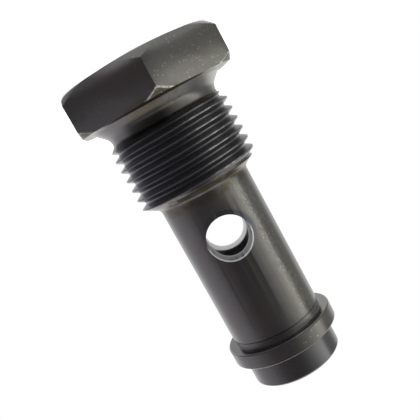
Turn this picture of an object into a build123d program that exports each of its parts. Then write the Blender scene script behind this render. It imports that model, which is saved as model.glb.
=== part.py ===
from build123d import *
import math
import os

# Banjo bolt, M18 x 1.5: a hollow bolt that clamps a banjo fitting to a port and lets fluid through.
# It is one piece of hexagon bar: turned, threaded, drilled up from the nose and cross-drilled.
# Sizes are in millimetres. The axis is Z. The flat top of the head is at z = 0, the hexagon head
# rises from it, and the thread, the shank, the seal collar and the nose follow upwards.
# The cross hole runs along Y.

# Head
ACROSS_FLATS = 22.0
HEAD_HEIGHT = 6.0
HEAD_TURN = -4.7  # degrees from the cross hole's axis to the nearest corner of the hexagon
TOP_FACE_DIAMETER = 22.2
TOP_CHAMFER_ANGLE = 40.0  # degrees from the top face
SEAT_DIAMETER = 23.6
SEAT_CHAMFER_ANGLE = 45.0  # degrees from the seat

# Neck, a relief between the seat and the thread
NECK_DIAMETER = 16.1
NECK_LENGTH = 2.6
NECK_CURVE = 2.0  # radius of the curve into the seat
CURVE_PULL = 0.56  # makes an eased corner nearly an arc of a circle

# Thread, ISO metric, right-handed
THREAD_DIAMETER = 17.9  # M18 as made, at the crests
THREAD_PITCH = 1.5
THREAD_LENGTH = 9.5
THREAD_LEAD_IN_ANGLE = 45.0  # degrees from the axis
THREAD_FLANK_ANGLE = 30.0  # degrees, half of the 60 degree thread form
THREAD_CREST_FLAT = 0.19
THREAD_DEPTH = 0.87
THREAD_START_ANGLE = -57.0  # degrees round the axis, where the groove opens out of the neck
THREAD_START_TURNS = 0.25  # how far below the thread's first edge the groove starts, in turns
THREAD_RUNOUT_TURNS = 1.0  # how far the groove goes on past the shoulder, in turns
CUTTER_CLEARANCE = 0.6  # how far the thread cutter stands out of the crests, in crest flats

# Shank with its cross hole
SHOULDER_ANGLE = 30.0  # degrees from the level, where the thread's end tapers down to the shank
SHOULDER_EASE = 0.55  # breaks the inner corner between the taper and the shank
SHANK_DIAMETER = 13.5
CROSS_HOLE_DIAMETER = 6.2
CROSS_HOLE_HEIGHT = 20.5  # above the seat
CROSS_HOLE_EDGE = 0.4

# Collar and nose
COLLAR_STEP = 1.3  # how far the collar stands out from the shank
COLLAR_HEIGHT = 36.1  # above the seat
COLLAR_LENGTH = 2.4
RELIEF_WIDTH = 0.9  # a groove turned at the collar's foot, measured at the shank's surface
RELIEF_DEPTH = 0.25
RELIEF_WALL_ANGLE = 45.0  # degrees from the axis, on the shank's side
COLLAR_EDGE = 0.18
NOSE_DIAMETER = 13.35
NOSE_LENGTH = 4.0
NOSE_EDGE = 0.3

# Bore, drilled blind from the nose
BORE_DIAMETER = 5.8
BORE_PAST_HOLE = 0.7  # full diameter that is left beyond the cross hole
DRILL_POINT_ANGLE = 118.0
BORE_EDGE = 0.4

# Worked out from the sizes above
seat_z = HEAD_HEIGHT
thread_z = seat_z + NECK_LENGTH
thread_end_z = thread_z + THREAD_LENGTH
collar_z = seat_z + COLLAR_HEIGHT
nose_z = collar_z + COLLAR_LENGTH
length = nose_z + NOSE_LENGTH
foot_z = thread_end_z + (THREAD_DIAMETER - SHANK_DIAMETER) / 2 * math.tan(math.radians(SHOULDER_ANGLE))
corner_radius = ACROSS_FLATS / 2 / math.cos(math.radians(30))
cross_hole_z = seat_z + CROSS_HOLE_HEIGHT


def rise(run, angle):
    """Height that a slope gains over a run, at an angle in degrees."""
    return run * math.tan(math.radians(angle))


def turned_profile():
    """Half section of the bolt as turned, with radius along X and height along Z."""
    top_face = TOP_FACE_DIAMETER / 2
    seat = SEAT_DIAMETER / 2
    neck = NECK_DIAMETER / 2
    crest = THREAD_DIAMETER / 2
    shank = SHANK_DIAMETER / 2
    collar = shank + COLLAR_STEP
    relief = shank - RELIEF_DEPTH
    relief_z = collar_z - RELIEF_WIDTH
    nose = NOSE_DIAMETER / 2
    seat_end = (neck + NECK_CURVE, seat_z)
    neck_start = (neck, seat_z + NECK_CURVE)
    shoulder_end = (shank + SHOULDER_EASE, foot_z + rise(SHOULDER_EASE, -SHOULDER_ANGLE))
    shank_start = (shank, foot_z + SHOULDER_EASE)
    head = Polyline(
        (0, 0),
        (top_face, 0),
        (corner_radius, rise(corner_radius - top_face, TOP_CHAMFER_ANGLE)),
        (corner_radius, seat_z - rise(corner_radius - seat, SEAT_CHAMFER_ANGLE)),
        (seat, seat_z),
        seat_end,
    )
    body = Polyline(
        neck_start,
        (neck, thread_z),
        (crest, thread_z + (crest - neck) / math.tan(math.radians(THREAD_LEAD_IN_ANGLE))),
        (crest, thread_end_z),
        shoulder_end,
        shank_start,
        (shank, relief_z),
        (relief, relief_z + RELIEF_DEPTH / math.tan(math.radians(RELIEF_WALL_ANGLE))),
        (relief, collar_z),
        (collar - COLLAR_EDGE, collar_z),
        (collar, collar_z + COLLAR_EDGE),
        (collar, nose_z - COLLAR_EDGE),
        (collar - COLLAR_EDGE, nose_z),
        (nose, nose_z),
        (nose, length - NOSE_EDGE),
        (nose - NOSE_EDGE, length),
        (0, length),
        (0, 0),
    )
    neck_curve = eased(seat_end, (neck, seat_z), neck_start)
    return Plane.XZ * make_face([head, neck_curve, body])


def eased(start, corner, end):
    """A curve that leaves one line of the outline and joins the next inside their corner."""
    first, last = (
        tuple(near + CURVE_PULL * (far - near) for near, far in zip(point, corner))
        for point in (start, end)
    )
    return Bezier(start, first, last, end)


def hexagon_bar():
    """The bar that the bolt is turned from."""
    outline = RegularPolygon(corner_radius, 6, rotation=HEAD_TURN - 90)
    return extrude(outline, length)


def thread_groove():
    """The cutter's path: a vee groove that winds up from the neck and runs out past the shoulder."""
    crest = THREAD_DIAMETER / 2
    root = crest - THREAD_DEPTH
    clear = THREAD_CREST_FLAT * CUTTER_CLEARANCE
    root_half = (THREAD_PITCH - THREAD_CREST_FLAT) / 2 - rise(THREAD_DEPTH, THREAD_FLANK_ANGLE)
    mouth_half = root_half + rise(THREAD_DEPTH + clear, THREAD_FLANK_ANGLE)
    vee = make_face(
        Polyline(
            (root, -root_half),
            (crest + clear, -mouth_half),
            (crest + clear, mouth_half),
            (root, root_half),
            close=True,
        )
    )
    climb = THREAD_LENGTH + THREAD_DEPTH + THREAD_PITCH * THREAD_RUNOUT_TURNS
    path = Helix(THREAD_PITCH, climb, root)
    groove = sweep(Plane.XZ * vee, path, is_frenet=True)
    start_z = thread_z - THREAD_PITCH * THREAD_START_TURNS
    return Pos(0, 0, start_z) * Rot(0, 0, THREAD_START_ANGLE) * groove


def bore():
    """The blind bore with its drill point and the broken edge of its mouth."""
    radius = BORE_DIAMETER / 2
    full_z = cross_hole_z - CROSS_HOLE_DIAMETER / 2 - BORE_PAST_HOLE
    point_z = full_z - radius / math.tan(math.radians(DRILL_POINT_ANGLE / 2))
    section = make_face(
        Polyline(
            (0, point_z),
            (radius, full_z),
            (radius, length - BORE_EDGE),
            (radius + BORE_EDGE, length),
            (0, length),
            close=True,
        )
    )
    return revolve(Plane.XZ * section, Axis.Z)


def cross_hole():
    """The straight drill through both walls."""
    return Pos(0, 0, cross_hole_z) * Rot(90, 0, 0) * Cylinder(CROSS_HOLE_DIAMETER / 2, 2 * SHANK_DIAMETER)


def hole_rims(bolt):
    """The two edges where the cross hole breaks out of the shank."""
    reach = SHANK_DIAMETER / 2
    ends = [
        bolt.edges().sort_by_distance((0, side * reach, cross_hole_z + CROSS_HOLE_DIAMETER / 2))[0]
        for side in (-1, 1)
    ]
    return ends


def banjo_bolt():
    """The whole bolt, in the order in which it is made."""
    bolt = revolve(turned_profile(), Axis.Z) & hexagon_bar()
    bolt = bolt - thread_groove()
    bolt = bolt - bore()
    bolt = bolt - cross_hole()
    return chamfer(hole_rims(bolt), CROSS_HOLE_EDGE)


os.makedirs("parts", exist_ok=True)
export_step(banjo_bolt(), "parts/banjo_bolt.step")
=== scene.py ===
import logging
import math
from dataclasses import dataclass, field
from enum import Enum
from typing import Any, Callable, Sequence

import bpy
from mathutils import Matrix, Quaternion, Vector


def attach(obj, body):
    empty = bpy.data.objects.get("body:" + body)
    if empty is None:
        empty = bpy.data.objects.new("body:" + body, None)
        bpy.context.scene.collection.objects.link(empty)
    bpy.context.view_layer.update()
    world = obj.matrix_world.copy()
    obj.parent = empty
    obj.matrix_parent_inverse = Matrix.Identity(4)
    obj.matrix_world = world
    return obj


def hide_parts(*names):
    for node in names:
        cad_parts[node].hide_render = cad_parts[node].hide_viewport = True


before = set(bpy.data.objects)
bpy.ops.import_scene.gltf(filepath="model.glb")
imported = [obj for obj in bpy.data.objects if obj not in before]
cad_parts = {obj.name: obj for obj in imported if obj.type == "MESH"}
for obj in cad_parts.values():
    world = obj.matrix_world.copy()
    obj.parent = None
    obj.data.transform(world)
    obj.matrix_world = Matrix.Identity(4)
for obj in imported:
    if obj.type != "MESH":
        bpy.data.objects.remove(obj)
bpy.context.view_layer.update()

log = logging.getLogger("banjo_bolt")

MM = 0.001

# Sizes in millimetres that both the shape and the finish follow
ACROSS_FLATS = 22.0
CORNER_RADIUS = ACROSS_FLATS / 2 / math.cos(math.radians(30))
HEAD_TURN = -4.7  # degrees that the hexagon is turned from the cross hole
HEAD_HEIGHT = 6.0
SEAT_RADIUS = 11.8
THREAD_START = 8.6
THREAD_END = 18.1
CREST_RADIUS = 8.95
SHANK_RADIUS = 6.75
RELIEF_START = 41.2
COLLAR_FOOT = 42.1
COLLAR_END = 44.5
COLLAR_RADIUS = 8.05
LENGTH = 48.5
BORE_RADIUS = 2.9
CROSS_HOLE_RADIUS = 3.1
CROSS_HOLE_CENTRE = (0.15, 0.0, 26.57)  # where the drill crossed the middle of the bolt
CROSS_HOLE_WAY = (0.0154, 1.0, 0.043)  # the drill wandered a little towards +X and the nose

Colour = tuple[float, float, float]


class Slot(Enum):
    """Material slots of the record."""

    STEEL = "blackened_steel"


# ---------------------------------------------------------------- shader maths


class Socket:
    """One output socket in a node tree, with arithmetic that adds Math nodes."""

    def __init__(self, shader: "Shader", output: bpy.types.NodeSocket) -> None:
        """Wrap an output.

        Args:
            shader: The material being built.
            output: The socket to read from.
        """
        self.shader = shader
        self.output = output

    def _math(self, operation: str, *values: Any, clamp: bool = False) -> "Socket":
        """Add one Math node and return its result."""
        return self.shader.node("ShaderNodeMath", {"operation": operation, "use_clamp": clamp},
                                dict(enumerate(values)))

    def __add__(self, other: Any) -> "Socket":
        """Sum."""
        return self._math("ADD", self, other)

    def __radd__(self, other: Any) -> "Socket":
        """Sum with the number first."""
        return self._math("ADD", other, self)

    def __sub__(self, other: Any) -> "Socket":
        """Difference."""
        return self._math("SUBTRACT", self, other)

    def __rsub__(self, other: Any) -> "Socket":
        """Difference with the number first."""
        return self._math("SUBTRACT", other, self)

    def __mul__(self, other: Any) -> "Socket":
        """Product."""
        return self._math("MULTIPLY", self, other)

    def __rmul__(self, other: Any) -> "Socket":
        """Product with the number first."""
        return self._math("MULTIPLY", other, self)

    def __truediv__(self, other: Any) -> "Socket":
        """Quotient."""
        return self._math("DIVIDE", self, other)

    def __pow__(self, other: Any) -> "Socket":
        """Power."""
        return self._math("POWER", self, other)

    def at_least(self, other: Any) -> "Socket":
        """The larger of the two."""
        return self._math("MAXIMUM", self, other)

    def clamped(self) -> "Socket":
        """The value held between 0 and 1."""
        return self._math("ADD", self, 0.0, clamp=True)

    def ramp(self, low: float, high: float) -> "Socket":
        """A smooth step from 0 at low to 1 at high."""
        return self.shader.node("ShaderNodeMapRange", {"interpolation_type": "SMOOTHSTEP"},
                                {"Value": self, "From Min": low, "From Max": high})

    def fade(self, low: float, high: float) -> "Socket":
        """A smooth step from 1 at low to 0 at high."""
        return 1.0 - self.ramp(low, high)


class Shader:
    """A node tree that is filled through one method."""

    def __init__(self, tree: bpy.types.NodeTree) -> None:
        """Take over a node tree and empty it.

        Args:
            tree: The tree of a material or of the world.
        """
        self.tree = tree
        tree.nodes.clear()

    def node(self, kind: str, settings: dict[str, Any] | None = None,
             values: dict[Any, Any] | None = None, output: int | str = 0) -> Socket:
        """Add a node.

        Args:
            kind: The node's type name.
            settings: Properties set first. The key "stops" holds a ramp's (place, colour) pairs.
            values: A number, a colour or a Socket for each named or numbered input.
            output: Which output to return.

        Returns:
            The chosen output.
        """
        made = self.tree.nodes.new(kind)
        for name, value in (settings or {}).items():
            if name == "stops":
                stops = made.color_ramp.elements
                while len(stops) < len(value):
                    stops.new(1.0)
                for stop, (place, colour) in zip(stops, value):
                    stop.position = place
                    stop.color = (*colour, 1.0)
            else:
                setattr(made, name, value)
        for name, value in (values or {}).items():
            target = made.inputs[name]
            if isinstance(value, Socket):
                self.tree.links.new(value.output, target)
            else:
                target.default_value = value
        return Socket(self, made.outputs[output] if len(made.outputs) else None)

    def mix(self, factor: Any, first: Any, second: Any) -> Socket:
        """Blend two colours.

        Args:
            factor: 0 for the first, 1 for the second.
            first: A colour or Socket.
            second: A colour or Socket.

        Returns:
            The blended colour.
        """
        first, second = ((*c, 1.0) if isinstance(c, tuple) and len(c) == 3 else c for c in (first, second))
        return self.node("ShaderNodeMix", {"data_type": "RGBA"}, {0: factor, 6: first, 7: second}, output=2)

    def noise(self, scale: float, detail: float = 3.0, roughness: float = 0.5,
              place: Socket | None = None) -> Socket:
        """Fractal noise over the piece's own coordinates.

        Args:
            scale: Cycles per metre.
            detail: Octaves.
            roughness: How strong the finer octaves are.
            place: Coordinates, or None for the piece's own.

        Returns:
            A value around 0.5.
        """
        where = place or self.node("ShaderNodeTexCoord", output="Object")
        return self.node("ShaderNodeTexNoise", {"noise_dimensions": "3D"},
                         {"Vector": where, "Scale": scale, "Detail": detail, "Roughness": roughness})


# ---------------------------------------------------------------- finishes


class BoltPlace:
    """Where a point lies on the bolt, in millimetres, and the noise that its finish shares."""

    def __init__(self, shader: Shader) -> None:
        """Read the piece's own coordinates.

        Args:
            shader: The material being built.
        """
        self.shader = shader
        self.where = shader.node("ShaderNodeTexCoord", output="Object")
        self.x, self.y, self.height = (
            shader.node("ShaderNodeSeparateXYZ", {}, {"Vector": self.where}, output=axis) * (1 / MM)
            for axis in range(3))
        self.radius = (self.x * self.x + self.y * self.y) ** 0.5
        aside = self.x - CROSS_HOLE_CENTRE[0] - self.y * CROSS_HOLE_WAY[0]
        self.above_hole = self.height - CROSS_HOLE_CENTRE[2] - self.y * CROSS_HOLE_WAY[2]
        self.from_hole = (aside * aside + self.above_hole * self.above_hole) ** 0.5
        self.patches = shader.noise(260.0, 4.0, 0.6)
        self.blotches = shader.noise(900.0, 4.0, 0.65)
        self.grain = shader.noise(9000.0, 2.0, 0.6)

    def inside_flats(self) -> Socket:
        """How far a point lies inside the nearest flat of the hexagon.

        Returns:
            Millimetres, and 0 on the flats.
        """
        nearest: Socket | float = 0.0
        for flat in range(3):
            turn = math.radians(HEAD_TURN - 60 + 60 * flat)
            across = self.x * math.cos(turn) + self.y * math.sin(turn)
            nearest = across.at_least(-1.0 * across).at_least(nearest)
        return ACROSS_FLATS / 2 - nearest

    def above_seat_cone(self) -> Socket:
        """How far a point lies above the 45 degree cone that chamfers the head on the seat's side."""
        return self.height + self.radius - (HEAD_HEIGHT + SEAT_RADIUS)

    def on_head(self) -> Socket:
        """1 on the head and 0 on all that follows it."""
        return self.height.fade(HEAD_HEIGHT - 0.1, HEAD_HEIGHT + 0.1)

    def in_cross_hole(self) -> Socket:
        """1 inside the cross hole, its wall included, and 0 outside."""
        return self.from_hole.fade(CROSS_HOLE_RADIUS + 0.09, CROSS_HOLE_RADIUS + 0.13)

    def sunk(self, reach: float) -> Socket:
        """How deep a point lies in the cross hole, measured along the hole.

        Args:
            reach: Radius of the cylinder that the depth is measured from.

        Returns:
            Millimetres below that cylinder, on either side of the bolt.
        """
        surface = (reach * reach - self.x * self.x).at_least(0.0) ** 0.5
        return surface - self.y.at_least(-1.0 * self.y)

    def broken(self, low: float, high: float, least: float) -> Socket:
        """Blotches that break up a light edge line.

        Args:
            low: Noise at which the line starts to gain.
            high: Noise at which it is full.
            least: What is left of the line between the blotches.

        Returns:
            A value between least and 1.
        """
        return self.blotches.ramp(low, high) * (1.0 - least) + least

    def streaks(self, scale: float) -> Socket:
        """Noise drawn out along the bolt.

        Args:
            scale: Streaks per millimetre across.

        Returns:
            A value around 0.5.
        """
        stretch = 0.06
        stretched = self.shader.node("ShaderNodeCombineXYZ", {}, {
            "X": self.x * scale, "Y": self.y * scale, "Z": self.height * (scale * stretch)})
        return self.shader.noise(1.0, 3.0, 0.6, stretched)

    def rings(self, scale: float) -> Socket:
        """Noise that changes only along the axis and outwards, as the lathe's tool leaves it.

        Args:
            scale: Rings per millimetre.

        Returns:
            A value around 0.5.
        """
        flat = self.shader.node("ShaderNodeCombineXYZ", {}, {
            "X": self.radius * scale, "Y": 0.0, "Z": self.height * scale})
        return self.shader.noise(1.0, 2.0, 0.5, flat)


@dataclass(frozen=True)
class Span:
    """A mark over a stretch of one measure, with soft ends. The stretch is in millimetres."""

    low: float
    high: float
    soft: float
    strength: float = 1.0

    def of(self, value: Socket) -> Socket:
        """The mark's strength where the value lies in the stretch, and 0 outside it."""
        inside = value.ramp(self.low - self.soft, self.low) - value.ramp(self.high, self.high + self.soft)
        return inside * self.strength


@dataclass(frozen=True)
class Specks:
    """Small round marks, one in every cell of a grid. A mark's size is its radius in cells."""

    cells_per_metre: float
    size: float
    strength: float

    def of(self, place: BoltPlace) -> Socket:
        """The marks' strength in a mark, and 0 outside.

        Args:
            place: Where a point lies.

        Returns:
            A value from 0 to the strength.
        """
        distance = place.shader.node("ShaderNodeTexVoronoi", {"feature": "F1"}, {
            "Vector": place.where, "Scale": self.cells_per_metre, "Randomness": 1.0})
        return distance.fade(self.size * 0.5, self.size) * self.strength


@dataclass(frozen=True)
class BlackOxideSteel:
    """Blackened steel, oiled: dark film, brown where the oil has dried, grey where wear shows, with painted
    highlights, glints and shade.
    """

    name: str = "black_oxide_steel"
    base: Colour = (0.158, 0.154, 0.156)
    ruddy: Colour = (0.160, 0.144, 0.146)
    oil: Colour = (0.125, 0.108, 0.080)
    olive: Colour = (0.168, 0.166, 0.148)
    # the grey of wear, also used for painted light and highlights
    worn_and_lit: Colour = (0.485, 0.485, 0.46)
    # painted light: the near white of the glints on the cross hole's edges and of its far wall
    glint_white: Colour = (0.90, 0.90, 0.91)
    # painted shade: the dark colour of the head's seat chamfer
    seat_shade: Colour = (0.085, 0.076, 0.052)
    # the bluer, darker film of the thread and the nose, also the colour of the painted shade round the cross
    # hole
    cut: Colour = (0.103, 0.106, 0.128)
    # dark colour of a grimy patch on the neck, also used for the painted shade at the relief's start
    grime_and_shade: Colour = (0.045, 0.042, 0.042)
    drilled: Colour = (0.24, 0.24, 0.25)
    metallic: float = 0.92
    roughness: float = 0.22
    olive_share: float = 0.8
    dark_crests: float = 0.9  # how much darker the crests are painted than the flanks, which dims their highlights
    # how strongly the painted light on the far wall shows
    far_wall_light_share: float = 0.8
    glint_dullness: float = 0.9  # how far the painted glints lose the metal's mirror
    bump_depth: float = 0.004 * MM

    # Marks by their height above the head's top
    oily_neck: Span = Span(HEAD_HEIGHT, HEAD_HEIGHT + 3.0, 0.8, 0.9)
    # painted highlight on the flare
    flare_highlight: Span = Span(HEAD_HEIGHT + 0.35, HEAD_HEIGHT + 1.5, 0.3, 0.80)
    grimy_neck: Span = Span(HEAD_HEIGHT + 1.25, HEAD_HEIGHT + 2.9, 0.5, 0.9)
    thread: Span = Span(THREAD_START + 0.2, THREAD_END - 0.2, 0.4, 0.50)
    # painted highlights on the thread's crests
    crest_highlight_height: Span = Span(THREAD_START + 0.7, THREAD_END - 0.2, 0.3, 0.60)
    oily_shoulder: Span = Span(THREAD_END + 0.1, THREAD_END + 2.2, 0.8, 0.9)
    streaked_shank: Span = Span(THREAD_END + 2.4, RELIEF_START - 0.2, 0.6, 0.16)
    # painted highlight flecks on the shank
    fleck_highlight_height: Span = Span(THREAD_END + 2.9, RELIEF_START - 0.7, 1.0, 0.48)
    # painted shade: a dark line where the relief starts
    relief_edge_shade: Span = Span(RELIEF_START - 0.12, RELIEF_START + 0.06, 0.03)
    # painted light on the collar's face, towards -X
    lit_collar_face: Span = Span(COLLAR_FOOT - 0.05, COLLAR_FOOT + 0.02, 0.02, 0.35)
    # the collar's foot edge: partly wear, partly painted highlight
    foot_edge: Span = Span(COLLAR_FOOT - 0.04, COLLAR_FOOT + 0.10, 0.04, 0.35)
    collar: Span = Span(COLLAR_FOOT + 0.3, COLLAR_END - 0.3, 0.2)
    # the collar's end edge: partly wear, partly painted highlight
    end_edge: Span = Span(COLLAR_END - 0.10, COLLAR_END + 0.02, 0.04)

    # Marks by where they lie along X
    # where the painted highlights on the crests lie
    crest_highlight_side: Span = Span(-7.6, -3.2, 2.2)
    # where the painted highlight flecks lie
    fleck_highlight_side: Span = Span(-5.3, -4.0, 0.7)
    oily_side: Span = Span(-2.5, 3.0, 1.6)
    grimy_side: Span = Span(0.3, 4.2, 1.6)

    # Marks by their distance from the cross hole's axis, by their depth below the bore's wall in that
    # hole, and by their distance from the cone that chamfers the head on the seat's side
    # painted glint at the cross hole's outer edge
    rim: Span = Span(CROSS_HOLE_RADIUS - 0.04, CROSS_HOLE_RADIUS + 0.15, 0.03, 0.55)
    # painted shade: a dark ring round the cross hole, standing in for the darker reflection of its rounded
    # edge
    painted_hole_shade: Span = Span(CROSS_HOLE_RADIUS + 0.04, CROSS_HOLE_RADIUS + 0.62, 0.20, 0.95)
    # painted glint at the cross hole's inner edge
    inner_edge: Span = Span(-0.60, 0.02, 0.06, 0.45)
    # painted shade: the whole seat chamfer darkened into the dark line that the corner shows
    shaded_seat_chamfer: Span = Span(-0.06, 0.06, 0.02)
    # the light line at the seat chamfer's edge: partly wear, partly painted highlight
    seat_edge_highlight: Span = Span(-0.12, 0.12, 0.05)

    pits: Specks = Specks(1900.0, 0.19, 0.6)
    fine_pits: Specks = Specks(3600.0, 0.26, 0.14)
    dents: Specks = Specks(1500.0, 0.18, 0.8)

    def build(self) -> bpy.types.Material:
        """Make the material.

        Returns:
            The finished material.
        """
        material = bpy.data.materials.new(self.name)
        material.use_nodes = True
        shader = Shader(material.node_tree)
        place = BoltPlace(shader)
        drilled = self.hole_wall(place)
        surface = shader.node("ShaderNodeBsdfPrincipled", {}, {
            "Base Color": self.colour(place, drilled),
            # the painted glints are white and lose the metal's mirror
            "Metallic": (self.metallic - self.edge_glints(place) * self.glint_dullness).clamped(),
            "Roughness": self.gloss(place, drilled),
            "Normal": self.relief(place)})
        shader.node("ShaderNodeOutputMaterial", {}, {"Surface": surface})
        return material

    @staticmethod
    def hole_wall(place: BoltPlace) -> Socket:
        """Where the drills left their duller walls: the cross hole's and the bore's."""
        across = place.in_cross_hole() * place.radius.fade(SHANK_RADIUS - 0.2, SHANK_RADIUS - 0.05)
        return (across + place.radius.fade(BORE_RADIUS + 0.05, BORE_RADIUS + 0.1)).clamped()

    @staticmethod
    def painted_far_wall_light(place: BoltPlace) -> Socket:
        """Painted light: the far side (+Y) of the cross hole's wall, beyond the bore, painted near white."""
        beyond_bore = place.radius.ramp(BORE_RADIUS + 0.02, BORE_RADIUS + 0.1)
        return place.y.ramp(1.0, 1.4) * beyond_bore * place.in_cross_hole()

    def edge_glints(self, place: BoltPlace) -> Socket:
        """Painted glints: white at both edges of the cross hole's wall, on the side towards the nose.

        Args:
            place: Where a point lies.

        Returns:
            How bright the painted glint is.
        """
        rim = self.rim.of(place.from_hole) * place.radius.ramp(SHANK_RADIUS - 0.45, SHANK_RADIUS - 0.35)
        inner = self.inner_edge.of(place.sunk(BORE_RADIUS)) * place.in_cross_hole()
        inner = inner * place.radius.ramp(BORE_RADIUS - 0.06, BORE_RADIUS - 0.02)
        return (rim + inner) * place.above_hole.ramp(-0.8, 0.8)

    def collar_wear_and_highlight(self, place: BoltPlace) -> Socket:
        """Light lines on the collar's two edges: partly wear, partly painted highlights.

        Args:
            place: Where a point lies.

        Returns:
            How light the edge is.
        """
        outside = place.radius.ramp(COLLAR_RADIUS - 0.23, COLLAR_RADIUS - 0.15)
        end = self.end_edge.of(place.height) * place.broken(0.40, 0.60, 0.25)
        return (self.foot_edge.of(place.height) + end) * outside

    def painted_highlights(self, place: BoltPlace) -> Socket:
        """Painted highlights on the -Y side: flecks in the shank's highlight, on the thread's crests and on
        the flare, all towards -X.

        Args:
            place: Where a point lies.

        Returns:
            How bright the painted highlight is.
        """
        flecks = place.shader.noise(5200.0, 3.0, 0.7).ramp(0.50, 0.66) * place.blotches.ramp(0.34, 0.52)
        flecks = flecks * self.fleck_highlight_side.of(place.x) * self.fleck_highlight_height.of(place.height)
        crests = place.radius.ramp(CREST_RADIUS - 0.05, CREST_RADIUS - 0.015) * place.broken(0.45, 0.62, 0.35)
        crests = crests * self.crest_highlight_side.of(place.x) * self.crest_highlight_height.of(place.height)
        flare = self.flare_highlight.of(place.height) * place.x.fade(-8.4, -6.4)
        return (flecks + crests + flare) * place.y.fade(-1.0, 1.0)

    def seat_edge_wear_and_highlight(self, place: BoltPlace) -> Socket:
        """A broken light line between the hexagon's flats and the chamfer on the seat's side: partly a burr's
        wear, partly a painted highlight.

        Args:
            place: Where a point lies.

        Returns:
            How light the line is.
        """
        near_flat = place.inside_flats().fade(0.10, 0.16)
        return self.seat_edge_highlight.of(place.above_seat_cone()) * near_flat * place.broken(0.42, 0.58, 0.4)

    def dried_oil(self, place: BoltPlace) -> Socket:
        """Where oil has dried brown: on the neck and round the shoulder.

        Args:
            place: Where a point lies.

        Returns:
            How thick the dried oil is.
        """
        neck = self.oily_neck.of(place.height) * self.oily_side.of(place.x) * place.patches.ramp(0.36, 0.56)
        return neck + self.oily_shoulder.of(place.height) * place.blotches.ramp(0.36, 0.58)

    def darker_film_and_shade(self, place: BoltPlace) -> Socket:
        """Where the film is painted bluer and darker: in the thread and on the nose, and as painted shade
        round the cross hole.

        Args:
            place: Where a point lies.

        Returns:
            How much darker the film is.
        """
        # the thread painted darker, most on its crests, which dims their highlights
        crests = place.radius.ramp(CREST_RADIUS - 0.17, CREST_RADIUS - 0.07)
        thread = self.thread.of(place.height) * (crests * self.dark_crests + 1.0)
        # painted shade round the cross hole, strongest on the head's side and towards -X
        painted_hole_shade = self.painted_hole_shade.of(place.from_hole) * place.radius.ramp(SHANK_RADIUS - 0.75, SHANK_RADIUS - 0.55)
        painted_hole_shade = painted_hole_shade * place.above_hole.fade(-0.5, 2.5) * (1.0 - place.x.ramp(-1.0, 2.5) * 0.7)
        # the nose painted darker, most towards -X
        nose = place.height.ramp(COLLAR_END, COLLAR_END + 0.1) * (0.5 - place.x.ramp(-2.0, 3.0) * 0.4)
        return thread + painted_hole_shade + nose

    def dirt_and_shade(self, place: BoltPlace) -> Socket:
        """A grimy patch on the neck, and painted shade: a dark line where the relief starts.

        Args:
            place: Where a point lies.

        Returns:
            How dark it is painted.
        """
        patch = self.grimy_neck.of(place.height) * self.grimy_side.of(place.x) * place.y.fade(-2.0, 0.0)
        # painted shade along the relief's start
        line = self.relief_edge_shade.of(place.height) * place.radius.fade(SHANK_RADIUS + 0.15, SHANK_RADIUS + 0.25)
        return patch + line

    def wear_and_painted_light(self, place: BoltPlace) -> Socket:
        """All the places where grey steel shows through the film, and the painted light and highlights in the
        same grey.

        Args:
            place: Where a point lies.

        Returns:
            How strongly the grey is painted.
        """
        pitted = (self.pits.of(place) + self.fine_pits.of(place)) * place.on_head() * place.x.fade(-2.0, 2.0)
        dented = self.dents.of(place) * self.collar.of(place.height) * place.blotches.ramp(0.44, 0.54)
        # painted light on the collar's face, towards -X
        lit_face = self.lit_collar_face.of(place.height) * place.x.fade(-4.0, 1.0)
        return pitted + dented + lit_face + self.collar_wear_and_highlight(place) + self.seat_edge_wear_and_highlight(place) + self.painted_highlights(place)

    def colour(self, place: BoltPlace, drilled: Socket) -> Socket:
        """Colour of the film, with its painted light and shade, where each layer covers the ones before it.

        Args:
            place: Where a point lies.
            drilled: Where the drills' walls are.

        Returns:
            The colour.
        """
        colour = place.shader.mix(place.patches.ramp(0.40, 0.66), self.base, self.ruddy)
        for mask, tone in (
            (place.x.fade(-2.5, 1.0) * place.blotches.ramp(0.35, 0.6) * self.olive_share, self.olive),
            (self.dried_oil(place), self.oil),
            # painted shade on the seat chamfer
            (self.shaded_seat_chamfer.of(place.above_seat_cone()), self.seat_shade),
            (self.darker_film_and_shade(place), self.cut),
            (self.dirt_and_shade(place), self.grime_and_shade),
            (drilled, self.drilled),
            # wear, with painted light and highlights
            (self.wear_and_painted_light(place), self.worn_and_lit),
            # painted glints, and painted light on the far wall
            (self.edge_glints(place) + self.painted_far_wall_light(place) * self.far_wall_light_share, self.glint_white),
        ):
            colour = place.shader.mix(mask.clamped(), colour, tone)
        return colour

    def gloss(self, place: BoltPlace, drilled: Socket) -> Socket:
        """Roughness, streaked along the shank and dull in the holes.

        Args:
            place: Where a point lies.
            drilled: Where the drills' walls are.

        Returns:
            The roughness.
        """
        streaks = (place.streaks(2.6) - 0.5) * self.streaked_shank.of(place.height)
        uneven = (place.patches - 0.5) * 0.10 + (place.grain - 0.5) * 0.06
        return (streaks + uneven + place.on_head() * 0.06 + drilled * 0.30 + self.roughness).clamped()

    def relief(self, place: BoltPlace) -> Socket:
        """Fine turning marks on all that was turned, and a little grain.

        Args:
            place: Where a point lies.

        Returns:
            The surface's direction.
        """
        turned = place.rings(14.0) * (1.0 - place.on_head())
        return place.shader.node("ShaderNodeBump", {}, {
            "Height": place.grain * 0.25 + turned * 0.75, "Distance": self.bump_depth, "Strength": 0.6})


# ---------------------------------------------------------------- modelling by hand


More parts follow.
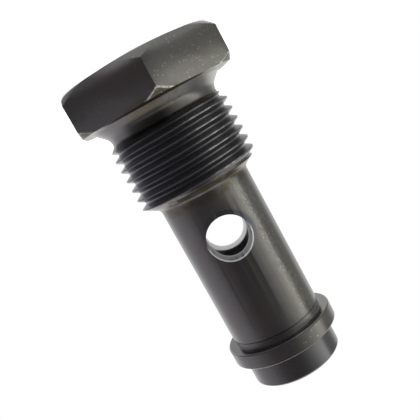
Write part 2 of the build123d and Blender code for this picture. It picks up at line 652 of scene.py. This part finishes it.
class Bench:
    """The modelling steps that the bolt's classes share, each done with Blender's own tools."""

    @staticmethod
    def clear() -> None:
        """Leave edit mode and deselect everything."""
        if bpy.context.object and bpy.context.object.mode != "OBJECT":
            bpy.ops.object.mode_set(mode="OBJECT")
        bpy.ops.object.select_all(action="DESELECT")

    @staticmethod
    def activate(piece: bpy.types.Object) -> None:
        """Select one piece alone.

        Args:
            piece: The piece to work on.
        """
        Bench.clear()
        piece.select_set(True)
        bpy.context.view_layer.objects.active = piece

    @staticmethod
    def edit(piece: bpy.types.Object, mode: str = "VERT") -> None:
        """Open a piece in edit mode with nothing selected.

        Args:
            piece: The piece to edit.
            mode: VERT, EDGE or FACE.
        """
        Bench.activate(piece)
        bpy.ops.object.mode_set(mode="EDIT")
        bpy.ops.mesh.select_mode(type=mode)
        bpy.ops.mesh.select_all(action="DESELECT")

    @staticmethod
    def pick(piece: bpy.types.Object, wanted: Callable[[Any], bool], kind: str) -> int:
        """Select vertices, edges or faces by their place, and go back to edit mode.

        Args:
            piece: The piece, open in edit mode.
            wanted: Tells from an element whether it is selected.
            kind: "vertices", "edges" or "polygons".

        Returns:
            How many were selected.
        """
        bpy.ops.object.mode_set(mode="OBJECT")
        chosen = [part for part in getattr(piece.data, kind) if wanted(part)]
        for part in chosen:
            part.select = True
        bpy.ops.object.mode_set(mode="EDIT")
        return len(chosen)

    @staticmethod
    def turn(name: str, profile: Sequence[tuple[float, float]], steps: int) -> bpy.types.Object:
        """Turn a closed solid: a disc whose end face is extruded and resized from ring to ring.

        Args:
            name: The new piece's name.
            profile: (radius, height) of each ring in millimetres, from the lowest end to the other.
            steps: Sides of the disc.

        Returns:
            The solid, standing on the Z axis.
        """
        Bench.clear()
        radius, height = profile[0]
        bpy.ops.mesh.primitive_circle_add(vertices=steps, radius=radius * MM, fill_type="NGON",
                                          location=(0, 0, height * MM))
        piece = bpy.context.active_object
        piece.name = name
        bpy.ops.object.transform_apply(location=True, rotation=True, scale=True)
        Bench.edit(piece, "FACE")
        bpy.ops.mesh.select_all(action="SELECT")
        for ring_radius, ring_height in profile[1:]:
            bpy.ops.mesh.extrude_region_move(
                TRANSFORM_OT_translate={"value": (0, 0, (ring_height - height) * MM)})
            grow = ring_radius / radius
            bpy.ops.transform.resize(value=(grow, grow, 1), center_override=(0, 0, ring_height * MM))
            radius, height = ring_radius, ring_height
        bpy.ops.mesh.select_all(action="SELECT")
        bpy.ops.mesh.normals_make_consistent(inside=False)
        bpy.ops.object.mode_set(mode="OBJECT")
        return piece

    @staticmethod
    def combine(piece: bpy.types.Object, tool: bpy.types.Object, operation: str) -> None:
        """Cut one solid with another, and remove the tool.

        Args:
            piece: The solid that stays.
            tool: The cutter.
            operation: "DIFFERENCE" or "INTERSECT".
        """
        Bench.activate(piece)
        cut = piece.modifiers.new("cut", "BOOLEAN")
        cut.operation = operation
        cut.solver = "EXACT"
        cut.object = tool
        bpy.ops.object.modifier_apply(modifier=cut.name)
        bpy.data.objects.remove(tool, do_unlink=True)

    @staticmethod
    def rounded(points: Sequence[tuple[float, float, float]], segments: int) -> list[tuple[float, float]]:
        """Round the corners of an outline.

        Args:
            points: (radius, height, corner radius) in millimetres; a corner radius of 0 stays sharp.
            segments: Straight pieces in each rounded corner.

        Returns:
            The outline's points.
        """
        outline: list[tuple[float, float]] = []
        for index, (x, y, bend) in enumerate(points):
            if not bend or index in (0, len(points) - 1):
                outline.append((x, y))
                continue
            here = Vector((x, y))
            before = (Vector(points[index - 1][:2]) - here).normalized()
            after = (Vector(points[index + 1][:2]) - here).normalized()
            half = before.angle(after) / 2
            centre = here + (before + after).normalized() * (bend / math.sin(half))
            start, end = (here + way * (bend / math.tan(half)) - centre for way in (before, after))
            for step in range(segments + 1):
                spoke = start.normalized().slerp(end.normalized(), step / segments)
                outline.append(tuple(centre + spoke * bend))
        return outline


@dataclass
class BoltBlank:
    """The bolt as turned on the lathe: head disc, neck, plain thread land, shank, collar and nose."""

    steps: int = 256
    corner_steps: int = 5
    bar_radius: float = CORNER_RADIUS + 0.4
    head_height: float = HEAD_HEIGHT
    top_face_radius: float = 11.1
    top_chamfer: float = 40.0
    seat_radius: float = SEAT_RADIUS
    neck_radius: float = 8.05
    flare_radius: float = 9.75
    flare_end: float = 7.7
    flare_foot: float = 0.8
    neck_curve: float = 1.6
    thread_start: float = THREAD_START
    thread_end: float = THREAD_END
    crest_radius: float = CREST_RADIUS
    shoulder_angle: float = 30.0
    shoulder_curve: float = 0.9
    shank_radius: float = SHANK_RADIUS
    relief_start: float = RELIEF_START
    relief_depth: float = 0.25
    relief_wall: float = 0.07
    relief_taper: float = 0.2
    collar_foot: float = COLLAR_FOOT
    collar_radius: float = COLLAR_RADIUS
    collar_end: float = COLLAR_END
    collar_edge: float = 0.18
    collar_round: float = 0.07
    nose_radius: float = 6.675
    nose_edge: float = 0.3
    length: float = LENGTH
    middle: float = 1.0  # radius at which the nose's end face stops, inside the bore

    def outline(self) -> list[tuple[float, float]]:
        """Half section from the head's flat top to the nose.

        Returns:
            (radius, height) pairs in millimetres.
        """
        rise = math.tan(math.radians(self.top_chamfer))
        shoulder = math.tan(math.radians(self.shoulder_angle))
        shank_start = self.thread_end + (self.crest_radius - self.shank_radius) * shoulder
        floor = self.shank_radius - self.relief_depth
        return Bench.rounded([
            (self.top_face_radius, 0, 0),
            (self.bar_radius, (self.bar_radius - self.top_face_radius) * rise, 0),
            (self.bar_radius, self.head_height - (self.bar_radius - self.seat_radius), 0),
            (self.seat_radius, self.head_height, 0.05),
            (self.flare_radius, self.head_height, self.flare_foot),
            (self.neck_radius, self.flare_end, self.neck_curve),
            (self.neck_radius, self.thread_start, 0.12),
            (self.crest_radius, self.thread_start + self.crest_radius - self.neck_radius, 0.06),
            (self.crest_radius, self.thread_end, 0.10),
            (self.shank_radius, shank_start, self.shoulder_curve),
            (self.shank_radius, self.relief_start, 0.04),
            (floor, self.relief_start + self.relief_wall, 0.03),
            (floor + self.relief_taper, self.collar_foot, 0.06),
            (self.collar_radius - self.collar_edge, self.collar_foot, self.collar_round),
            (self.collar_radius, self.collar_foot + self.collar_edge, self.collar_round),
            (self.collar_radius, self.collar_end - self.collar_edge, self.collar_round),
            (self.collar_radius - self.collar_edge, self.collar_end, self.collar_round),
            (self.nose_radius, self.collar_end, 0.08),
            (self.nose_radius, self.length - self.nose_edge, 0.15),
            (self.nose_radius - self.nose_edge, self.length, 0.1),
            (self.middle, self.length, 0),
        ], self.corner_steps)

    def build(self) -> bpy.types.Object:
        """Turn the blank.

        Returns:
            The turned solid.
        """
        return Bench.turn("banjo_bolt_visual", self.outline(), self.steps)


@dataclass
class HexagonBar:
    """The bar's six flats, cut round the head."""

    across_flats: float = ACROSS_FLATS
    corner_radius: float = CORNER_RADIUS
    turn: float = HEAD_TURN
    head_height: float = HEAD_HEIGHT
    length: float = LENGTH
    spare: float = 2.0  # how far the bar reaches past each end of the bolt
    corner_round: float = 0.07
    edge_break: float = 0.05
    nearness: float = 0.02  # how far inside the flats an edge may lie and still be broken
    least_angle: float = 20.0  # degrees from which an edge of the head counts as sharp

    def cut(self, bolt: bpy.types.Object) -> None:
        """Leave the head its six flats and its chamfer arcs.

        Args:
            bolt: The turned blank.
        """
        Bench.clear()
        bpy.ops.mesh.primitive_cylinder_add(
            vertices=6, radius=self.corner_radius * MM, depth=(self.length + 2 * self.spare) * MM,
            location=(0, 0, self.length / 2 * MM), rotation=(0, 0, math.radians(self.turn)))
        bar = bpy.context.active_object
        bpy.ops.object.transform_apply(location=True, rotation=True, scale=True)

        def upright(edge: bpy.types.MeshEdge) -> bool:
            """Whether the edge is one of the bar's six corners."""
            first, second = (bar.data.vertices[index].co.z for index in edge.vertices)
            return abs(first - second) > MM

        Bench.edit(bar, "EDGE")
        Bench.pick(bar, upright, "edges")
        bpy.ops.mesh.bevel(offset=self.corner_round * MM, segments=3, profile=0.5)
        bpy.ops.object.mode_set(mode="OBJECT")
        Bench.combine(bolt, bar, "INTERSECT")

    def break_edges(self, bolt: bpy.types.Object) -> None:
        """Break the sharp edges between the flats and the two chamfers.

        Args:
            bolt: The bolt after its flats are cut.
        """
        top = self.head_height * MM
        nearest = (self.across_flats / 2 - self.nearness) * MM

        def on_head(edge: bpy.types.MeshEdge) -> bool:
            """Whether both ends lie on the head, no nearer to the axis than its flats."""
            ends = [bolt.data.vertices[index].co for index in edge.vertices]
            return all(end.z <= top and math.hypot(end.x, end.y) >= nearest for end in ends)

        Bench.edit(bolt, "EDGE")
        bpy.ops.mesh.edges_select_sharp(sharpness=math.radians(self.least_angle))
        bpy.ops.object.mode_set(mode="OBJECT")
        for edge in bolt.data.edges:
            edge.select = edge.select and on_head(edge)
        bpy.ops.object.mode_set(mode="EDIT")
        bpy.ops.mesh.bevel(offset=self.edge_break * MM, segments=2, profile=0.5, clamp_overlap=True)
        bpy.ops.object.mode_set(mode="OBJECT")


@dataclass
class ThreadGroove:
    """The right-handed vee groove, wound as a cutter and taken out of the blank."""

    pitch: float = 1.5
    crest_radius: float = CREST_RADIUS
    depth: float = 0.87
    start_height: float = 8.225
    climb: float = 11.87
    start_angle: float = -57.0
    steps: int = 160
    # Half of the vee, as (distance out from the root, half width): its mouth flares to round the crests
    flank: tuple[tuple[float, float], ...] = (
        (0.0, 0.105), (0.03, 0.155), (0.80, 0.605), (0.845, 0.645),
        (0.87, 0.69), (0.88, 0.722), (1.05, 0.735))

    def section(self) -> list[tuple[float, float]]:
        """The cutter's section.

        Returns:
            (radius, height) pairs in millimetres.
        """
        root = self.crest_radius - self.depth
        upper = [(root + out, away) for out, away in self.flank]
        return [(radius, -away) for radius, away in reversed(upper)] + upper

    def cut(self, bolt: bpy.types.Object) -> None:
        """Wind the cutter round the axis and cut the thread.

        Args:
            bolt: The turned blank.
        """
        Bench.clear()
        section = self.section()
        bpy.ops.mesh.primitive_circle_add(vertices=len(section), radius=MM, fill_type="NOTHING")
        groove = bpy.context.active_object
        for vertex, (radius, height) in zip(groove.data.vertices, section):
            vertex.co = (radius * MM, 0, (self.start_height + height) * MM)
        turns = self.climb / self.pitch
        whole = math.ceil(turns)
        wind = groove.modifiers.new("wind", "SCREW")
        wind.axis = "Z"
        wind.angle = 2 * math.pi * turns / whole
        wind.screw_offset = self.climb / whole * MM
        wind.iterations = whole
        wind.steps = wind.render_steps = self.steps
        wind.use_smooth_shade = False
        wind.use_merge_vertices = False
        Bench.activate(groove)
        bpy.ops.object.modifier_apply(modifier=wind.name)
        groove.rotation_euler = (0, 0, math.radians(self.start_angle))
        bpy.ops.object.transform_apply(location=True, rotation=True, scale=True)
        Bench.edit(groove, "EDGE")
        bpy.ops.mesh.select_non_manifold()
        bpy.ops.mesh.edge_face_add()
        bpy.ops.mesh.select_all(action="SELECT")
        bpy.ops.mesh.normals_make_consistent(inside=False)
        bpy.ops.object.mode_set(mode="OBJECT")
        Bench.combine(bolt, groove, "DIFFERENCE")


@dataclass
class FluidBore:
    """The blind bore that is drilled up from the nose."""

    radius: float = BORE_RADIUS
    mouth_break: float = 0.4
    full_depth_height: float = 22.7
    point_angle: float = 118.0
    tip: float = 0.02
    top: float = LENGTH
    spare: float = 1.0  # how far the drill stands out of the nose
    steps: int = 128

    def cut(self, bolt: bpy.types.Object) -> None:
        """Drill the bore.

        Args:
            bolt: The threaded blank.
        """
        point = self.full_depth_height - self.radius / math.tan(math.radians(self.point_angle / 2))
        mouth = self.radius + self.mouth_break
        drill = Bench.turn("bore_drill", [
            (self.tip, point),
            (self.radius, self.full_depth_height),
            (self.radius, self.top - self.mouth_break),
            (mouth, self.top),
            (mouth + self.spare, self.top + self.spare),
        ], self.steps)
        Bench.combine(bolt, drill, "DIFFERENCE")


@dataclass
class CrossHole:
    """The cross drill through both walls, with broken rims."""

    radius: float = CROSS_HOLE_RADIUS
    centre: tuple[float, float, float] = CROSS_HOLE_CENTRE
    way: tuple[float, float, float] = CROSS_HOLE_WAY
    rim_break: float = 0.4
    inner_break: float = 0.06
    shank_radius: float = SHANK_RADIUS
    bore_radius: float = BORE_RADIUS
    steps: int = 128
    nearness: float = 0.01  # how near a point lies to the wall that it counts as being on

    def cut(self, bolt: bpy.types.Object) -> None:
        """Drill the hole and break its edges.

        Args:
            bolt: The bored bolt.
        """
        Bench.clear()
        bpy.ops.mesh.primitive_cylinder_add(
            vertices=self.steps, radius=self.radius * MM, depth=4 * self.shank_radius * MM,
            location=Vector(self.centre) * MM, rotation=Vector(self.way).to_track_quat("Z", "Y").to_euler())
        drill = bpy.context.active_object
        bpy.ops.object.transform_apply(location=True, rotation=True, scale=True)
        Bench.combine(bolt, drill, "DIFFERENCE")
        self.break_edges(bolt, self.shank_radius, self.rim_break, 3)
        self.break_edges(bolt, self.bore_radius, self.inner_break, 2)

    def break_edges(self, bolt: bpy.types.Object, reach: float, size: float, segments: int) -> None:
        """Bevel the edges where the hole meets a cylinder round the axis.

        Args:
            bolt: The bolt.
            reach: Radius of that cylinder.
            size: Width of the bevel.
            segments: Faces across the bevel.
        """
        centre, way = Vector(self.centre), Vector(self.way).normalized()

        def on_rim(edge: bpy.types.MeshEdge) -> bool:
            """Whether both ends lie on the hole's wall and on the cylinder."""
            for index in edge.vertices:
                point = bolt.data.vertices[index].co / MM
                off_wall = (point - centre).cross(way).length - self.radius
                off_cylinder = math.hypot(point.x, point.y) - reach
                if max(abs(off_wall), abs(off_cylinder)) > self.nearness:
                    return False
            return True

        Bench.edit(bolt, "EDGE")
        count = Bench.pick(bolt, on_rim, "edges")
        bpy.ops.mesh.bevel(offset=size * MM, segments=segments, profile=0.5,
                           clamp_overlap=True, loop_slide=True)
        bpy.ops.object.mode_set(mode="OBJECT")
        log.info("cross hole: %d edges broken at radius %.2f mm", count, reach)


@dataclass
class BanjoBolt:
    """The whole bolt, made in the order in which a maker works."""

    blank: BoltBlank = field(default_factory=BoltBlank)
    bar: HexagonBar = field(default_factory=HexagonBar)
    groove: ThreadGroove = field(default_factory=ThreadGroove)
    bore: FluidBore = field(default_factory=FluidBore)
    cross_hole: CrossHole = field(default_factory=CrossHole)
    merge_distance: float = 0.0005
    smooth_angle: float = 32.0

    def build(self, steel: bpy.types.Material) -> bpy.types.Object:
        """Model the bolt and dress it.

        Args:
            steel: Its finish.

        Returns:
            The finished piece.
        """
        bolt = self.blank.build()
        self.bar.cut(bolt)
        log.info("head: %d faces", len(bolt.data.polygons))
        self.bar.break_edges(bolt)
        self.groove.cut(bolt)
        log.info("thread: %d faces", len(bolt.data.polygons))
        self.bore.cut(bolt)
        self.cross_hole.cut(bolt)
        self.finish_surface(bolt)
        bolt.data.materials.clear()
        bolt.data.materials.append(steel)
        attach(bolt, "root")
        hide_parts("banjo_bolt")
        return bolt

    def finish_surface(self, bolt: bpy.types.Object) -> None:
        """Merge doubles, turn the faces outwards and smooth all but the sharp edges.

        Args:
            bolt: The bolt.
        """
        Bench.edit(bolt, "VERT")
        bpy.ops.mesh.select_all(action="SELECT")
        bpy.ops.mesh.remove_doubles(threshold=self.merge_distance * MM)
        bpy.ops.mesh.normals_make_consistent(inside=False)
        bpy.ops.object.mode_set(mode="OBJECT")
        Bench.activate(bolt)
        bpy.ops.object.shade_smooth_by_angle(angle=math.radians(self.smooth_angle))


# ---------------------------------------------------------------- the studio


@dataclass
class Studio:
    """White surroundings with a dark camera side, two soft lamps, a pale floor and the camera."""

    camera_place: tuple[float, float, float] = (-1.0133 * MM, -82.9369 * MM, 10.5608 * MM)
    camera_aim: tuple[float, float, float] = (0.020178, 0.989165, 0.145418)
    camera_roll: float = 151.08
    lens: float = 50.718
    lamp_power: float = 1.2
    lamp_size: float = 0.30
    lamp_aim: tuple[float, float, float] = (0, 0, 0.024)
    ceiling: Colour = (0.95, 0.95, 0.95)
    diffuse: Colour = (0.55, 0.55, 0.56)
    room_level: float = 1.6
    floor_size: float = 4.0
    floor_level: float = 0.8
    floor_glow: float = 0.6
    floor_caps: tuple[float, float] = (0.50, 0.15)
    disc_light: Colour = (1.1, 1.1, 1.1)
    disc_dark: Colour = (0.40, 0.39, 0.40)

    def camera(self) -> None:
        """Set the camera at the viewing angle."""
        data = bpy.data.cameras.new("camera")
        data.lens = self.lens
        data.sensor_width = 36.0
        data.clip_start = 0.005
        data.clip_end = 50.0
        camera = bpy.data.objects.new("camera", data)
        bpy.context.scene.collection.objects.link(camera)
        roll = Quaternion((0, 0, 1), math.radians(self.camera_roll))
        camera.location = self.camera_place
        camera.rotation_euler = (Vector(self.camera_aim).to_track_quat("-Z", "Y") @ roll).to_euler()
        bpy.context.scene.camera = camera

    def world(self) -> None:
        """White all round for the camera, and a room that is dark towards -Y for reflections."""
        world = bpy.data.worlds.new("studio")
        world.use_nodes = True
        bpy.context.scene.world = world
        shader = Shader(world.node_tree)
        straight, mirrored, through = (
            shader.node("ShaderNodeLightPath", output=name)
            for name in ("Is Camera Ray", "Is Glossy Ray", "Is Transmission Ray"))
        direct = straight.at_least(through)
        where = shader.node("ShaderNodeTexCoord", output="Generated")
        up = shader.node("ShaderNodeSeparateXYZ", {}, {"Vector": where}, output=2)
        room = shader.mix(up.ramp(0.74, 0.97), self.room(shader, where), self.ceiling)
        seen = shader.mix(direct, room, (1.0, 1.0, 1.0))
        light = shader.mix(direct.at_least(mirrored), self.diffuse, seen)
        back = shader.node("ShaderNodeBackground", {}, {"Color": light, "Strength": 1.0})
        shader.node("ShaderNodeOutputWorld", {}, {"Surface": back})

    def room(self, shader: Shader, where: Socket,
             caps: tuple[float, float] = (math.inf, math.inf)) -> Socket:
        """The room's colour in a direction from the bolt, as reflections show it.

        Args:
            shader: The node tree to add to.
            where: The direction, or a place round the bolt.
            caps: The brightest tones of the near side: on its left and middle, and on its right.

        Returns:
            The colour.
        """
        x, y = (shader.node("ShaderNodeSeparateXYZ", {}, {"Vector": where}, output=i) for i in (0, 1))
        angle = shader.node("ShaderNodeMath", {"operation": "ARCTAN2"}, {0: x, 1: -1.0 * y})
        tone = shader.node("ShaderNodeValToRGB", {"stops": self.room_tones(caps)},
                           {"Fac": angle / (2 * math.pi) + 0.5})
        return shader.node("ShaderNodeVectorMath", {"operation": "SCALE"},
                           {0: tone, "Scale": self.room_level})

    def room_tones(self, caps: tuple[float, float]) -> list[tuple[float, Colour]]:
        """Tones of the room round the bolt, from behind the bolt round to behind it again.

        Args:
            caps: The brightest tones of the near side: on its left and middle, and on its right.

        Returns:
            Ramp stops: 0 and 1 lie behind the bolt (+Y), 0.5 in front (-Y) and 0.25 on the left (-X).
        """
        near_side, right_side = 120, 30
        plain, warm = (1.0, 1.0, 1.0), (0.995, 1.0, 0.94)
        violet, dim = (0.985, 0.98, 1.03), (1.05, 0.97, 0.97)
        stops = []
        for degrees, tone, tint in (
            (-180, 0.9, plain), (-140, 0.9, plain), (-125, 0.42, warm), (-95, 0.40, warm), (-89, 0.6, warm),
            (-83, 1.6, warm), (-75, 1.6, warm), (-58, 1.0, warm), (-38, 0.5, warm), (-18, 0.18, warm),
            (0, 0.09, dim), (20, 0.085, dim), (41, 0.12, dim), (61, 0.28, violet), (81, 0.52, violet),
            (101, 0.66, violet), (121, 0.8, violet), (141, 1.0, plain), (180, 1.0, plain),
        ):
            if abs(degrees) <= near_side:
                tone = min(tone, caps[degrees > right_side])
            stops.append((0.5 + degrees / 360, tuple(tone / self.room_level * part for part in tint)))
        return stops

    def lamps(self) -> None:
        """Two large soft lamps at the sides."""
        for name, place in (("lamp_left", (-0.35, -0.15, 0.30)), ("lamp_right", (0.35, -0.10, 0.35))):
            data = bpy.data.lights.new(name, "AREA")
            data.energy = self.lamp_power
            data.size = self.lamp_size
            lamp = bpy.data.objects.new(name, data)
            bpy.context.scene.collection.objects.link(lamp)
            lamp.location = place
            lamp.visible_glossy = False
            lamp.rotation_euler = (Vector(self.lamp_aim) - Vector(place)).to_track_quat("-Z", "Y").to_euler()

    def floor(self) -> None:
        """A pale floor that shows white and keeps the bolt's shadow, with its own tones in reflections."""
        Bench.clear()
        bpy.ops.mesh.primitive_plane_add(size=self.floor_size, location=(0, 0, 0))
        floor = bpy.context.active_object
        floor.name = "floor"
        material = bpy.data.materials.new("pale_floor")
        material.use_nodes = True
        shader = Shader(material.node_tree)
        colour = shader.mix(shader.noise(6.0, 2.0), (0.86, 0.86, 0.86), (0.9, 0.9, 0.9))
        surface = shader.node("ShaderNodeBsdfPrincipled", {}, {"Base Color": colour, "Roughness": 0.9})
        straight = shader.node("ShaderNodeLightPath", output="Is Camera Ray")
        glow = shader.node("ShaderNodeEmission", {}, {
            "Color": (1, 1, 1, 1), "Strength": straight * self.floor_glow})
        lit = shader.node("ShaderNodeAddShader", {}, {0: surface, 1: glow})
        where = shader.node("ShaderNodeTexCoord", output="Object")
        away = shader.node("ShaderNodeVectorMath", {"operation": "LENGTH"}, {0: where}, output="Value")
        aside = shader.node("ShaderNodeSeparateXYZ", {}, {"Vector": where}, output=0)
        disc = shader.mix(aside.ramp(3.0 * MM, 7.0 * MM), self.disc_light, self.disc_dark)
        room = self.room(shader, where, self.floor_caps)
        tone = shader.mix(away.ramp(13.2 * MM, 15.0 * MM), disc, room)
        mirrored = shader.node("ShaderNodeEmission", {}, {"Color": tone, "Strength": self.floor_level})
        glossy = shader.node("ShaderNodeLightPath", output="Is Glossy Ray")
        both = shader.node("ShaderNodeMixShader", {}, {0: glossy, 1: lit, 2: mirrored})
        shader.node("ShaderNodeOutputMaterial", {}, {"Surface": both})
        floor.data.materials.append(material)

    def build(self) -> None:
        """Put up the whole studio."""
        bpy.context.scene.view_settings.view_transform = "Standard"
        self.camera()
        self.world()
        self.lamps()
        self.floor()


def main() -> None:
    """Build the studio and the bolt."""
    logging.basicConfig(level=logging.INFO, format="%(name)s: %(message)s")
    Studio().build()
    steel = BlackOxideSteel().build()
    bolt = BanjoBolt().build(steel)
    log.info("%s: %d faces", bolt.name, len(bolt.data.polygons))


if __name__ == "__main__":
    main()
